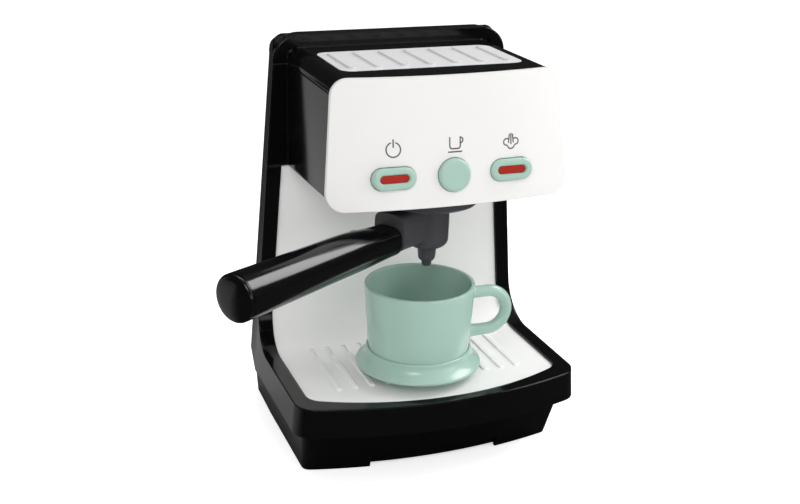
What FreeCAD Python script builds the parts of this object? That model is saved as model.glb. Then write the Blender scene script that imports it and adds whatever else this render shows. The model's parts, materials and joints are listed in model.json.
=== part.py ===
"""Toy coffee maker for pretend play, with its filter holder, cup and saucer.

The model stands on the floor at z = 0 with the origin under the middle of the footprint.
+X is to the right, +Y to the back and +Z up. All sizes are in millimetres.
"""
import FreeCAD, Part
import math
import os

from FreeCAD import Vector

# Clearances and walls
fit_gap = 0.3
seam_gap = 0.3
shell_wall = 2.5
screw_clearance = 0.15

# Tower and base outline
tower_height = 270.0
tower_half_top = 81.0
tower_side_slope = 0.075
foot_half = 88.0
rear_y = 85.0
tower_front_y = 40.0
rear_taper_lip = 7.5
rear_taper_top = 9.0
rear_corner_radius = 6.0
lip_bottom_z = 35.5
lip_corner_y = -67.2
lip_corner_radius = 15.0
front_bow = 18.0
deck_z = 55.5
deck_fillet_radius = 28.0
skirt_half_top = 92.0
skirt_rear_foot = 87.0
skirt_rear_top = 89.5
skirt_bow = 12.0
skirt_corner_y_foot = -46.0
skirt_corner_y_top = -58.0
skirt_corner_radius = 6.0
skirt_notch_half = 45.0
skirt_notch_height = 9.0
skirt_notch_depth = 2.0
foot_height = 2.5
rim_width = 10.0

# Splits between the housings
head_bottom_z = 183.0
cover_height = 18.0
head_top_drop = 8.5
arch_radius = 17.0
arch_rim_depth = 12.0
arch_rear_step = 0.6
arch_rear_drop = 8.5
arch_rear_radius = 7.0
face_recess = 2.0

# Drip panel
panel_recess = 1.5
panel_wall = 2.5
tray_front_extra = 4.0
tray_corner_radius = 12.0
drip_groove_count = 12
drip_groove_pitch = 11.5
drip_groove_width = 3.0
drip_groove_depth = 1.0
drip_groove_front_y = -46.0
drip_groove_rear_y = 20.0

# Head
head_half_rear = 72.4
head_half_front_bottom = 78.3
head_half_front_top = 72.2
face_half_bottom = 79.9
face_half_top = 73.1
face_corner_y_bottom = -68.5
face_corner_y_top = -58.9
face_bow = 8.0
face_wall = 3.0
face_corner_radius = 11.0
face_edge_radius = 1.2
head_edge_radius = 9.0
head_floor = 2.5
head_underside_rise = 7.5
head_underside_reach = 102.0
button_relief_half = 13.0
button_relief_y = -64.0

# Top grille
grille_half_width = 60.0
grille_front_y = -41.0
grille_rear_y = 21.0
grille_corner_radius = 8.0
grille_wall = 2.5
grille_rib_count = 7
grille_rib_width = 5.0
grille_rib_height = 1.2
grille_rib_margin = 7.0

# Controls
control_z = 202.2
side_control_x = 38.2
oval_length = 27.5
oval_height = 13.5
round_button_diameter = 20.5
button_stand_out = 3.2
button_travel = 1.5
button_flange_wall = 1.2
button_flange_width = 1.0
button_flange_gap = 0.5
lens_length = 18.5
lens_height = 4.8
lens_depth = 4.0
lens_recess = 0.8
lens_gap = 0.1
stem_radius = 2.6
board_depth = 15.0
board_half_width = 61.0
board_low = 6.9
board_high = 19.5
board_wall = 1.6
board_post_x = 57.0
board_post_low_z = -3.0
board_post_high_z = 15.0
board_post_radius = 3.0
board_screw_radius = 1.2
board_screw_head_radius = 2.4
switch_height = 3.0
dome_radius = 5.0
dome_wall = 0.8
lamp_radius = 1.5
lamp_height = 4.0
lamp_offset = 10.5
switch_half = 2.6

# Brew group and filter holder
brew_y = -32.7
collar_radius = 33.0
collar_bottom_z = 174.4
collar_ledge = 3.4
collar_wall = 3.0
holder_radius = 14.0
holder_foot_radius = 13.2
holder_bottom_z = 146.0
holder_chamfer_z = 142.0
holder_chamfer_radius = 6.8
holder_flange_radius = 18.5
holder_flange_wall = 3.0
nozzle_top_radius = 6.2
nozzle_shoulder_z = 136.0
nozzle_tip_radius = 3.0
nozzle_tip_z = 129.2
nozzle_bore_radius = 1.6
nozzle_spigot_radius = 4.0
nozzle_spigot_length = 5.0
handle_turn = 58.3
handle_z = 158.3
socket_length = 39.5
socket_half_width = 12.0
socket_bottom_z = 150.0
neck_length = 15.0
neck_half_width = 11.0
neck_top_z = 166.9
neck_bottom_z = 148.2
neck_chamfer = 4.4
grip_root_radius = 11.8
grip_end_radius = 13.9
grip_end = 169.0
cap_length = 3.2
cap_dome = 7.0
cap_groove = 0.5
tenon_radius = 5.0
tenon_length = 30.0
handle_screw_radius = 1.8
handle_screw_head_radius = 3.4

# Cup and saucer
cup_x = -3.7
cup_y = -31.4
saucer_foot_gap = 0.3
saucer_foot_radius = 26.0
saucer_hollow_top_radius = 32.5
saucer_hollow_low_radius = 39.0
saucer_rim_radius = 41.7
saucer_rim_z = 60.0
saucer_rim_wall = 2.2
saucer_neck_radius = 35.2
saucer_neck_z = 68.0
saucer_top_z = 73.0
saucer_recess_depth = 3.2
saucer_wall = 2.4
cup_foot_radius = 33.3
cup_rim_radius = 36.4
cup_rim_z = 117.6
cup_wall = 2.6
cup_floor = 3.0
cup_foot_edge = 1.6
ear_top_z = 107.0
ear_bottom_z = 76.6
ear_reach = 67.5
ear_width = 7.6
ear_thickness = 5.4

# Rear cover, battery bay and loudspeaker
rear_cover_wall = 2.5
rear_cover_margin = 7.0
rear_cover_low_z = 10.0
rear_cover_high_z = 176.0
rear_cover_corner = 8.0
cell_count = 3
cell_radius = 7.1
cell_length = 50.0
cell_gap = 0.6
cell_low_z = 61.0
bay_wall = 1.8
bay_clearance = 0.5
contact_wall = 0.6
contact_size = 9.0
door_lap = 3.0
door_wall = 1.2
door_tab_half = 8.0
door_tab_height = 8.0
door_screw_radius = 1.5
door_screw_head_radius = 2.8
door_screw_length = 9.0
speaker_radius = 18.0
speaker_depth = 9.0
speaker_z = 148.0
speaker_ring_wall = 1.6
speaker_ring_depth = 6.0
speaker_slot_count = 7
speaker_slot_pitch = 4.4
speaker_slot_height = 2.0

# Housing screws
boss_radius = 4.6
boss_depth = 22.0
screw_radius = 1.5
screw_head_radius = 3.0
screw_head_depth = 2.0
screw_length = 14.0
rear_screw_low_z = 24.0
rear_screw_high_z = 166.0
rear_screw_inset = 14.0
base_wall = 3.0
base_screw_front_y = -32.0
base_screw_rear_y = 62.0
base_screw_inset = 9.0
cover_screw_x = 60.0
cover_screw_y = 62.0

# Places worked out from the sizes above
tray_z = deck_z - panel_recess
cover_split_z = tower_height - cover_height
head_top_z = tower_height - head_top_drop
arch_rear_height = tower_height - arch_rear_drop
face_tilt = math.degrees(math.atan2(face_corner_y_top - face_corner_y_bottom, head_top_z - head_bottom_z))
cell_pitch = 2 * cell_radius + cell_gap
bay_half = cell_count * cell_pitch / 2 + bay_clearance
bay_low_z = cell_low_z - contact_wall - bay_clearance
bay_high_z = cell_low_z + cell_length + contact_wall + bay_clearance
cell_y = rear_y - rear_cover_wall - bay_clearance - cell_radius
door_screw_z = bay_high_z + bay_wall + door_lap + door_screw_head_radius
saucer_floor_z = saucer_top_z - saucer_recess_depth
cup_foot_z = saucer_floor_z
holder_top_z = collar_bottom_z + collar_ledge + fit_gap


def between(low, high, share):
    return low + (high - low) * share


def side_half(z):
    """Half width of the lip and tower at their front, at height z."""
    return tower_half_top + tower_side_slope * (tower_height - z)


def rear_half(z):
    """Half width of the housing at its back, at height z."""
    if z < lip_bottom_z:
        return between(skirt_rear_foot, skirt_rear_top, z / lip_bottom_z)
    share = (z - lip_bottom_z) / (tower_height - lip_bottom_z)
    return side_half(z) - between(rear_taper_lip, rear_taper_top, share)


def box(x0, x1, y0, y1, z0, z1):
    return Part.makeBox(x1 - x0, y1 - y0, z1 - z0, Vector(x0, y0, z0))


def rod(radius, start, end):
    """A cylinder from one point to another."""
    axis = end - start
    return Part.makeCylinder(radius, axis.Length, start, axis)


def loft(wires):
    return Part.makeLoft(wires, True, True)


def polygon(points):
    return Part.makePolygon(points + [points[0]])


def edges_near(shape, test):
    """The edges of a shape whose two ends both pass a test."""
    return [e for e in shape.Edges if len(e.Vertexes) == 2 and all(test(v.Point) for v in e.Vertexes)]


def plan_wire(z, front, back, bend_y, corner_y, bow, back_y):
    """A plan at height z: flat back, tapering sides and a bowed front."""
    left_back = Vector(-back, back_y, z)
    left_bend = Vector(-front, bend_y, z)
    left_front = Vector(-front, corner_y, z)
    right_front = Vector(front, corner_y, z)
    right_bend = Vector(front, bend_y, z)
    right_back = Vector(back, back_y, z)
    bowed = Part.Arc(left_front, Vector(0, corner_y - bow, z), right_front).toShape()
    lines = [
        Part.makeLine(left_back, left_bend),
        Part.makeLine(left_bend, left_front),
        bowed,
        Part.makeLine(right_front, right_bend),
        Part.makeLine(right_bend, right_back),
        Part.makeLine(right_back, left_back),
    ]
    return Part.Wire(lines)


def envelope(inset, low_z, high_z, corner_radius, extra_front=0.0):
    """The full plan of lip and tower between two heights, drawn in by an inset."""
    corner_y = lip_corner_y + inset * 1.1
    bow = front_bow + extra_front
    back_y = rear_y - min(inset, shell_wall)
    bend_y = tower_front_y + inset
    wires = []
    for z in (low_z, high_z):
        wires.append(plan_wire(z, side_half(z) - inset, rear_half(z) - inset, bend_y, corner_y, bow,
                               back_y))
    solid = loft(wires)
    corners = edges_near(solid, lambda p: abs(p.y - corner_y) < 0.1)
    corners = [e for e in corners if abs(e.Vertexes[0].Z - e.Vertexes[1].Z) > 1]
    if corner_radius > 0:
        solid = solid.makeFillet(corner_radius, corners)
    if inset < shell_wall:
        rear = [e for e in edges_near(solid, lambda p: abs(p.y - back_y) < 0.1)
                if abs(e.Vertexes[0].Z - e.Vertexes[1].Z) > 1]
        solid = solid.makeFillet(rear_corner_radius, rear)
    return solid


def skirt_wire(z, inset):
    share = z / lip_bottom_z
    front = between(foot_half, skirt_half_top, share) - inset
    back = between(skirt_rear_foot, skirt_rear_top, share) - inset
    corner_y = between(skirt_corner_y_foot, skirt_corner_y_top, share) + inset
    return plan_wire(z, front, back, tower_front_y, corner_y, skirt_bow, rear_y - inset)


def skirt(inset, high_z=lip_bottom_z):
    """The foot of the base, which draws in towards the floor."""
    solid = loft([skirt_wire(0, inset), skirt_wire(high_z, inset)])
    corners = [e for e in solid.Edges if len(e.Vertexes) == 2
               and abs(e.Vertexes[0].Z - e.Vertexes[1].Z) > 1
               and (e.Vertexes[0].Y < 0 or e.Vertexes[0].Y > rear_y - inset - 0.1)]
    return solid.makeFillet(skirt_corner_radius, corners)


def profile(depth, high_z):
    """What lies behind the tower's face and under the deck, as one side profile across the width."""
    face_y = tower_front_y + depth
    top_z = deck_z - depth
    centre_y = tower_front_y - deck_fillet_radius
    centre_z = deck_z + deck_fillet_radius
    radius = deck_fillet_radius + depth
    middle = Vector(0, centre_y + radius * math.cos(math.radians(45)),
                    centre_z - radius * math.sin(math.radians(45)))
    sweep = Part.Arc(Vector(0, face_y, centre_z), middle, Vector(0, centre_y, top_z)).toShape()
    outer = Part.makePolygon([
        Vector(0, centre_y, top_z),
        Vector(0, -120, top_z),
        Vector(0, -120, -5),
        Vector(0, 120, -5),
        Vector(0, 120, high_z),
        Vector(0, face_y, high_z),
        Vector(0, face_y, centre_z),
    ])
    face = Part.Face(Part.Wire([sweep] + outer.Edges))
    face.translate(Vector(-130, 0, 0))
    return face.extrude(Vector(260, 0, 0))


def head_wire(z, inset, stand_out):
    """The head's plan at height z, with its bowed front."""
    share = (z - head_bottom_z) / (head_top_z - head_bottom_z)
    front = head_half_front_bottom + (head_half_front_top - head_half_front_bottom) * share - inset
    corner_y = face_corner_y_bottom + (face_corner_y_top - face_corner_y_bottom) * share + face_wall + stand_out
    back = head_half_rear - inset
    back_y = tower_front_y + 8.0
    points = [Vector(-front, corner_y, z), Vector(-back, back_y, z), Vector(back, back_y, z),
              Vector(front, corner_y, z)]
    bowed = Part.Arc(points[3], Vector(0, corner_y - face_bow, z), points[0]).toShape()
    lines = [Part.makeLine(a, b) for a, b in zip(points, points[1:])]
    return Part.Wire(lines + [bowed])


def head_block(inset, low_z, high_z, stand_out=0.0):
    return loft([head_wire(low_z, inset, stand_out), head_wire(high_z, inset, stand_out)])


def face_wire(z, share):
    """The front panel's plan at height z: a bowed strip of even thickness."""
    half = face_half_bottom + (face_half_top - face_half_bottom) * share
    corner_y = face_corner_y_bottom + (face_corner_y_top - face_corner_y_bottom) * share
    outer = Part.Arc(Vector(-half, corner_y, z), Vector(0, corner_y - face_bow, z),
                     Vector(half, corner_y, z)).toShape()
    back_y = corner_y + face_wall
    inner = Part.Arc(Vector(half, back_y, z), Vector(0, back_y - face_bow, z),
                     Vector(-half, back_y, z)).toShape()
    right = Part.makeLine(Vector(half, corner_y, z), Vector(half, back_y, z))
    left = Part.makeLine(Vector(-half, back_y, z), Vector(-half, corner_y, z))
    return Part.Wire([outer, right, inner, left])


def face_y(x, z):
    """The front panel's outer surface."""
    share = (z - head_bottom_z) / (head_top_z - head_bottom_z)
    half = face_half_bottom + (face_half_top - face_half_bottom) * share
    corner_y = face_corner_y_bottom + (face_corner_y_top - face_corner_y_bottom) * share
    return corner_y - face_bow * (1 - (x / half) ** 2)


def on_face(shape, x):
    """Move a shape drawn about the origin, with +Y into the panel, to a control's place."""
    moved = shape.copy()
    moved.rotate(Vector(0, 0, 0), Vector(1, 0, 0), -face_tilt)
    moved.translate(Vector(x, face_y(x, control_z), control_z))
    return moved


def stadium(length, height, y0, y1):
    """A long round-ended block across X, between two depths."""
    radius = height / 2
    reach = length / 2 - radius
    a = Vector(-reach, y0, radius)
    b = Vector(reach, y0, radius)
    c = Vector(reach, y0, -radius)
    d = Vector(-reach, y0, -radius)
    right = Part.Arc(b, Vector(reach + radius, y0, 0), c).toShape()
    left = Part.Arc(d, Vector(-reach - radius, y0, 0), a).toShape()
    face = Part.Face(Part.Wire([Part.makeLine(a, b), right, Part.makeLine(c, d), left]))
    return face.extrude(Vector(0, y1 - y0, 0))


def disc(radius, y0, y1):
    return Part.makeCylinder(radius, y1 - y0, Vector(0, y0, 0), Vector(0, 1, 0))


def turned(points, x, y):
    """A solid of revolution about a vertical axis, from points of radius and height."""
    outline = polygon([Vector(r, 0, z) for r, z in points])
    solid = Part.Face(outline).revolve(Vector(0, 0, 0), Vector(0, 0, 1), 360)
    solid.translate(Vector(x, y, 0))
    return solid


def rounded_plate(half_low, half_high, low_z, high_z, corner, y0, y1):
    """An upright plate whose sides lean in, with rounded corners."""
    outline = polygon([
        Vector(-half_low, y0, low_z),
        Vector(half_low, y0, low_z),
        Vector(half_high, y0, high_z),
        Vector(-half_high, y0, high_z),
    ])
    solid = Part.Face(outline).extrude(Vector(0, y1 - y0, 0))
    along_y = edges_near(solid, lambda p: True)
    along_y = [e for e in along_y if abs(e.Vertexes[0].Y - e.Vertexes[1].Y) > 0.9 * (y1 - y0)]
    return solid.makeFillet(corner, along_y)


# Lower body

def body_outer():
    lip_and_tower = envelope(0, lip_bottom_z, head_bottom_z - seam_gap, lip_corner_radius)
    upper = lip_and_tower.common(profile(0, tower_height))
    return upper.fuse(skirt(0)).removeSplitter()


def tray_region(inset):
    return envelope(inset, deck_z - 15, head_bottom_z - seam_gap, tray_corner_radius, tray_front_extra)


def rear_cover_plate(gap, y0, y1):
    low_half = rear_half(rear_cover_low_z) - rear_cover_margin - gap
    high_half = rear_half(rear_cover_high_z) - rear_cover_margin - gap
    return rounded_plate(low_half, high_half, rear_cover_low_z + gap, rear_cover_high_z - gap,
                         rear_cover_corner, y0, y1)


def rear_screw_places():
    places = []
    for z in (rear_screw_low_z, rear_screw_high_z):
        reach = rear_half(z) - rear_screw_inset
        places += [(-reach, z), (reach, z)]
    return places


def base_screw_places():
    reach = foot_half - base_screw_inset
    return [(side * reach, y) for side in (-1, 1) for y in (base_screw_front_y, base_screw_rear_y)]


def body_shell():
    outer = body_outer()
    lip_floor_z = lip_bottom_z + shell_wall
    cavity_low = skirt(shell_wall, lip_floor_z + 0.01)
    cavity_high = envelope(shell_wall, lip_floor_z, head_bottom_z, lip_corner_radius - shell_wall)
    depth = panel_recess + panel_wall + shell_wall
    cavity = cavity_low.fuse(cavity_high.common(profile(depth, tower_height + 1)))
    cavity = cavity.fuse(box(-40, 40, tower_front_y + depth, rear_y - shell_wall, 150, head_bottom_z))
    pocket = tray_region(rim_width).common(profile(-2,
                                                   tower_height).cut(profile(panel_recess + panel_wall,
                                                           tower_height)))
    shell = outer.cut(cavity).cut(pocket)
    shell = shell.cut(rear_cover_plate(0, rear_y - shell_wall - 1, rear_y + 1))
    band = skirt(0).cut(skirt(skirt_notch_depth))
    shell = shell.cut(band.common(box(-skirt_notch_half, skirt_notch_half, -120, 0, -1,
                                      skirt_notch_height)))
    shell = shell.cut(box(-skirt_notch_half, skirt_notch_half, -120, 0, -1, foot_height))
    bosses = []
    for x, z in rear_screw_places():
        side = math.copysign(1, x)
        front = rear_y - rear_cover_wall - fit_gap
        post = rod(boss_radius, Vector(x, front - boss_depth, z), Vector(x, front, z))
        web = box(min(x, x + side * 20), max(x, x + side * 20), front - boss_depth, front, z - 1.2,
                  z + 1.2)
        bosses.append(post.fuse(web).cut(rod(screw_radius - screw_clearance, Vector(x, front - 16, z),
                                             Vector(x, front + 1, z))))
    for x, y in base_screw_places():
        side = math.copysign(1, x)
        post = rod(boss_radius, Vector(x, y, base_wall), Vector(x, y, base_wall + boss_depth))
        web = box(min(x, x + side * 14), max(x, x + side * 14), y - 1.2, y + 1.2, base_wall,
                  base_wall + boss_depth)
        bosses.append(post.fuse(web).cut(rod(screw_radius - screw_clearance, Vector(x, y, 0),
                                             Vector(x, y, base_wall + 16))))
    inside = outer.cut(pocket)
    for boss in bosses:
        shell = shell.fuse(boss.common(inside))
    return shell.removeSplitter()


def base_plate():
    plate = skirt(shell_wall + fit_gap).common(box(-120, 120, -120, 120, -1, base_wall))
    plate = plate.cut(box(-skirt_notch_half - 1, skirt_notch_half + 1, -120, skirt_corner_y_foot + 2, -1,
                          base_wall + 1))
    for x, y in base_screw_places():
        plate = plate.cut(rod(screw_radius + screw_clearance, Vector(x, y, -1),
                              Vector(x, y, base_wall + 1)))
        plate = plate.cut(rod(screw_head_radius + screw_clearance, Vector(x, y, -1),
                              Vector(x, y, screw_head_depth - 0.3)))
    return plate


def drip_panel():
    skin = profile(panel_recess, tower_height).cut(profile(panel_recess + panel_wall, tower_height))
    panel = tray_region(rim_width + fit_gap / 2).common(skin)
    panel = panel.common(box(-120, 120, -120, 120, 0, head_bottom_z - seam_gap - fit_gap))
    band = profile(panel_recess - 1, tower_height).cut(profile(panel_recess + drip_groove_depth,
                                                               tower_height))
    for i in range(drip_groove_count):
        x = (i - (drip_groove_count - 1) / 2) * drip_groove_pitch
        half = drip_groove_width / 2
        end_y = drip_groove_front_y + half
        slot = box(x - half, x + half, end_y, drip_groove_rear_y, 0, tower_height)
        slot = slot.fuse(rod(half, Vector(x, end_y, 0), Vector(x, end_y, tower_height)))
        panel = panel.cut(slot.common(band))
    return panel


# Head and top

def tower_block(inset, low_z, high_z):
    whole = envelope(inset, low_z, high_z, 0)
    return whole.common(box(-120, 120, tower_front_y + inset, 120, low_z, high_z))


def above_underside(lift):
    """Everything over the head's underside, which rises from the tower to the front."""
    low_z = head_bottom_z + lift
    front_z = low_z + head_underside_rise * (tower_front_y + 120) / head_underside_reach
    outline = polygon([
        Vector(-120, 120, low_z),
        Vector(-120, tower_front_y, low_z),
        Vector(-120, -120, front_z),
        Vector(-120, -120, 300),
        Vector(-120, 120, 300),
    ])
    return Part.Face(outline).extrude(Vector(240, 0, 0))


def cover_boss(x, low_z, high_z):
    return rod(boss_radius, Vector(x, cover_screw_y, low_z), Vector(x, cover_screw_y, high_z))


def cover_screw_places():
    return [(-cover_screw_x, cover_screw_y), (cover_screw_x, cover_screw_y)]


def upper_shell():
    low_z = head_bottom_z
    high_z = cover_split_z - seam_gap
    tower = tower_block(0, low_z, high_z)
    tower_hollow = tower_block(shell_wall, low_z - 1, high_z + 1)
    head = head_block(0, low_z, head_top_z).common(box(-120, 120, -120, 120, low_z, high_z))
    head = head.common(above_underside(0))
    hollow = head_block(shell_wall, low_z, head_top_z,
                        -20).common(box(-120, 120, -120, 120, low_z, high_z + 1))
    hollow = hollow.common(above_underside(head_floor))
    shell = tower.fuse(head).cut(tower_hollow).cut(hollow)
    bore = rod(holder_flange_radius + 2, Vector(0, brew_y, low_z - 1), Vector(0, brew_y, control_z))
    relief = box(-button_relief_half, button_relief_half, -120, button_relief_y, low_z, control_z)
    shell = shell.cut(bore).cut(relief)
    for x, y in cover_screw_places():
        side = math.copysign(1, x)
        reach = x + side * 30
        web = box(min(x, reach), max(x, reach), y - 1.2, y + 1.2, high_z - boss_depth, high_z)
        boss = cover_boss(x, high_z - boss_depth, high_z).fuse(web).common(tower)
        hole = rod(screw_radius - screw_clearance, Vector(x, y, high_z - 16), Vector(x, y, high_z + 1))
        shell = shell.fuse(boss).cut(hole)
    return shell.removeSplitter()


def arch_wire(half_low, half_top, low_z, top_z, radius, y):
    """The arch seen from the front: leaning sides and two round top corners."""
    lean = (half_low - half_top) / (top_z - low_z)
    shoulder_z = top_z - radius
    shoulder = half_low - lean * (shoulder_z - low_z)
    diagonal = radius * math.cos(math.radians(45))
    a = Vector(-half_low, y, low_z)
    b = Vector(-shoulder, y, shoulder_z)
    c = Vector(-shoulder + radius, y, top_z)
    d = Vector(shoulder - radius, y, top_z)
    e = Vector(shoulder, y, shoulder_z)
    f = Vector(half_low, y, low_z)
    left = Part.Arc(b, Vector(-shoulder + radius - diagonal, y, shoulder_z + diagonal), c).toShape()
    right = Part.Arc(d, Vector(shoulder - radius + diagonal, y, shoulder_z + diagonal), e).toShape()
    return Part.Wire([Part.makeLine(a, b), left, Part.makeLine(c, d), right, Part.makeLine(e, f),
                      Part.makeLine(f, a)])


def arch_section(y, inset, top_z, radius):
    """The arch at depth y, between the front's and the back's half widths."""
    share = (y - tower_front_y) / (rear_y - tower_front_y)
    half_low = between(side_half(cover_split_z), rear_half(cover_split_z), share) - inset
    half_top = between(tower_half_top, rear_half(tower_height), share) - inset
    return arch_wire(half_low, half_top, cover_split_z, top_z - inset, radius - inset, y)


def arch_block(inset):
    """The rim, and behind it the rear housing with its tighter corners."""
    rim_y = tower_front_y + arch_rim_depth + inset
    rim_ends = (tower_front_y + inset, rim_y + 0.01)
    rim = loft([arch_section(y, inset, tower_height, arch_radius) for y in rim_ends])
    front = arch_section(rim_y, inset, tower_height - arch_rear_step, arch_rear_radius)
    back = arch_section(rear_y - inset, inset, arch_rear_height, arch_rear_radius)
    return rim.fuse(loft([front, back]))


def head_top_block():
    block = head_block(0, head_bottom_z, head_top_z).common(box(-120, 120, -120, 120, cover_split_z,
                                                                tower_height))
    edges = [e for e in block.Edges if len(e.Vertexes) == 2
             and all(abs(v.Z - head_top_z) < 0.1 for v in e.Vertexes)
             and abs(e.Vertexes[0].Y - e.Vertexes[1].Y) > 40]
    return block.makeFillet(head_edge_radius, edges)


def grille_plate(gap, z0, z1):
    plate = box(-grille_half_width - gap, grille_half_width + gap, grille_front_y - gap,
                grille_rear_y + gap, z0, z1)
    uprights = [e for e in plate.Edges if abs(e.Vertexes[0].Z - e.Vertexes[1].Z) > 0.5 * (z1 - z0)]
    return plate.makeFillet(grille_corner_radius + gap, uprights)


def top_cover():
    head = head_top_block()
    inner_head = head_block(shell_wall, head_bottom_z, head_top_z, -20)
    inner_head = inner_head.common(box(-120, 120, -120, 120, cover_split_z - 1,
                                       head_top_z - 2 * shell_wall))
    arch = arch_block(0)
    face_low = cover_split_z - 1
    front_pocket = envelope(rim_width, face_low, head_top_z, 0).common(
        box(-120, 120, tower_front_y - 1, tower_front_y + face_recess, face_low, head_top_z))
    cover = arch.cut(front_pocket).fuse(head)
    arch_hollow = arch_block(shell_wall).common(box(-120, 120, tower_front_y + face_recess + shell_wall,
                                                    120, 0, 300))
    cover = cover.cut(arch_hollow).cut(inner_head)
    cover = cover.cut(grille_plate(fit_gap, head_top_z - grille_wall, head_top_z + 5))
    for x, y in cover_screw_places():
        boss = cover_boss(x, cover_split_z, tower_height).common(arch)
        cover = cover.fuse(boss)
        cover = cover.cut(rod(screw_radius + screw_clearance, Vector(x, y, cover_split_z - 1),
                              Vector(x, y, tower_height + 1)))
        seat_z = cover_split_z + 6
        cover = cover.cut(rod(screw_head_radius + 2 * screw_clearance, Vector(x, y, seat_z),
                              Vector(x, y, tower_height + 1)))
    return cover


def top_grille():
    plate = grille_plate(0, head_top_z - grille_wall + 0.01, head_top_z)
    pitch = 2 * grille_half_width / grille_rib_count
    for i in range(grille_rib_count):
        x = (i - (grille_rib_count - 1) / 2) * pitch
        rib = box(x - grille_rib_width / 2, x + grille_rib_width / 2, grille_front_y + grille_rib_margin,
                  grille_rear_y - grille_rib_margin, head_top_z - 1, head_top_z + grille_rib_height)
        ends = [e for e in rib.Edges if abs(e.Vertexes[0].Z - e.Vertexes[1].Z) > 1]
        plate = plate.fuse(rib.makeFillet(grille_rib_width / 2 - 0.05, ends))
    return plate.removeSplitter()


# Front panel and controls

def front_panel():
    panel = loft([face_wire(head_bottom_z, 0), face_wire(head_top_z, 1)])
    outline = rounded_plate(face_half_bottom, face_half_top, head_bottom_z, head_top_z,
                            face_corner_radius, -120, 0)
    panel = panel.common(outline)
    for x, shape in control_holes():
        panel = panel.cut(on_face(shape, x))
    for x, z in board_post_places():
        pilot = rod(board_screw_radius - 0.1, Vector(x, -8, z), Vector(x, 1, z))
        panel = panel.fuse(face_post(x, z)).cut(on_board(pilot))
    return panel.removeSplitter()


def on_board(shape):
    """Move a shape drawn on the board's front face, with +Y to the back, to its place."""
    moved = shape.copy()
    moved.translate(Vector(0, board_depth, 0))
    return on_face(moved, 0)


def board_post_places():
    return [(x, z) for x in (-board_post_x, board_post_x) for z in (board_post_low_z, board_post_high_z)]


def face_post(x, z):
    """A post from the panel's back to the board."""
    long_post = on_board(rod(board_post_radius, Vector(x, -14, z), Vector(x, 0, z)))
    behind = head_block(-5, head_bottom_z, head_top_z, -0.5)
    return long_post.common(behind)


def control_holes():
    oval = stadium(oval_length + 2 * fit_gap, oval_height + 2 * fit_gap, -20, 20)
    ring = disc(round_button_diameter / 2 + fit_gap, -20, 20)
    return [(-side_control_x, oval), (0, ring), (side_control_x, oval)]


def board_gap(x):
    """Depth from the panel's outer surface to the board, at a control's place."""
    return board_depth - (face_y(x, control_z) - face_y(0, control_z))


def stem_end(x):
    return board_gap(x) - switch_height - button_travel - 0.4


def flange_start(x, half_length):
    """Depth at which a flange clears the bowed panel behind its button's outer end."""
    outer = abs(x) + half_length + button_flange_width
    return face_wall + face_y(outer, control_z) - face_y(x, control_z) + button_flange_gap


def oval_button(x):
    """A long button with a window for its lens, a flange behind the panel and a stem."""
    flange_y = flange_start(x, oval_length / 2)
    cap = stadium(oval_length, oval_height, -button_stand_out, flange_y + 0.01)
    front = [e for e in cap.Edges if all(abs(v.Y + button_stand_out) < 0.01 for v in e.Vertexes)]
    cap = cap.makeFillet(1.6, front)
    flange = stadium(oval_length + 2 * button_flange_width, oval_height + 2 * button_flange_width,
                     flange_y, flange_y + button_flange_wall)
    stem = disc(stem_radius, flange_y, stem_end(x))
    window = stadium(lens_length + 2 * lens_gap, lens_height + 2 * lens_gap,
                     -button_stand_out - 1, -button_stand_out + lens_depth)
    button = cap.fuse(flange).fuse(stem).cut(window)
    window_edges = [e for e in button.Edges if all(
        abs(v.Y + button_stand_out) < 0.01 and abs(v.Z) < lens_height / 2 + 2 * lens_gap for v in e.Vertexes)]
    return on_face(button.makeChamfer(lens_recess, window_edges), x)


def round_button():
    radius = round_button_diameter / 2
    flange_y = flange_start(0, radius)
    cap = disc(radius, -button_stand_out, flange_y + 0.01)
    front = [e for e in cap.Edges if all(abs(v.Y + button_stand_out) < 0.01 for v in e.Vertexes)]
    cap = cap.makeFillet(2.0, front)
    flange = disc(radius + button_flange_width, flange_y, flange_y + button_flange_wall)
    stem = disc(stem_radius, flange_y, stem_end(0))
    return on_face(cap.fuse(flange).fuse(stem), 0)


def lens(x):
    front_y = lens_recess - button_stand_out
    body = stadium(lens_length, lens_height, front_y, -button_stand_out + lens_depth)
    front = [e for e in body.Edges if all(abs(v.Y - front_y) < 0.01 for v in e.Vertexes)]
    return on_face(body.makeFillet(0.6, front), x)


def button_dome(x, half_length):
    """A rubber return dome between a button's flange and the board, round stem and switch."""
    top = flange_start(x, half_length) + button_flange_wall
    end = board_gap(x)
    mouth = stem_radius + 0.4
    outline = polygon([
        Vector(mouth, top, 0),
        Vector(mouth + dome_wall, top, 0),
        Vector(dome_radius + dome_wall, end - 1.2, 0),
        Vector(dome_radius + dome_wall + 1.0, end - 0.8, 0),
        Vector(dome_radius + dome_wall + 1.0, end, 0),
        Vector(dome_radius, end, 0),
        Vector(dome_radius, end - 1.2, 0),
        Vector(mouth, top + 0.8, 0),
    ])
    return on_face(Part.Face(outline).revolve(Vector(0, 0, 0), Vector(0, 1, 0), 360), x)


def circuit_board():
    board = on_board(box(-board_half_width, board_half_width, 0, board_wall, -board_low, board_high))
    for x, z in board_post_places():
        hole = rod(board_screw_radius + 0.1, Vector(x, -1, z), Vector(x, board_wall + 1, z))
        board = board.cut(on_board(hole))
    return board


def button_switches():
    solids = []
    for x in (-side_control_x, 0, side_control_x):
        block = box(x - switch_half, x + switch_half, -switch_height, 0, -switch_half, switch_half)
        solids.append(on_board(block))
    return Part.makeCompound(solids)


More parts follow.
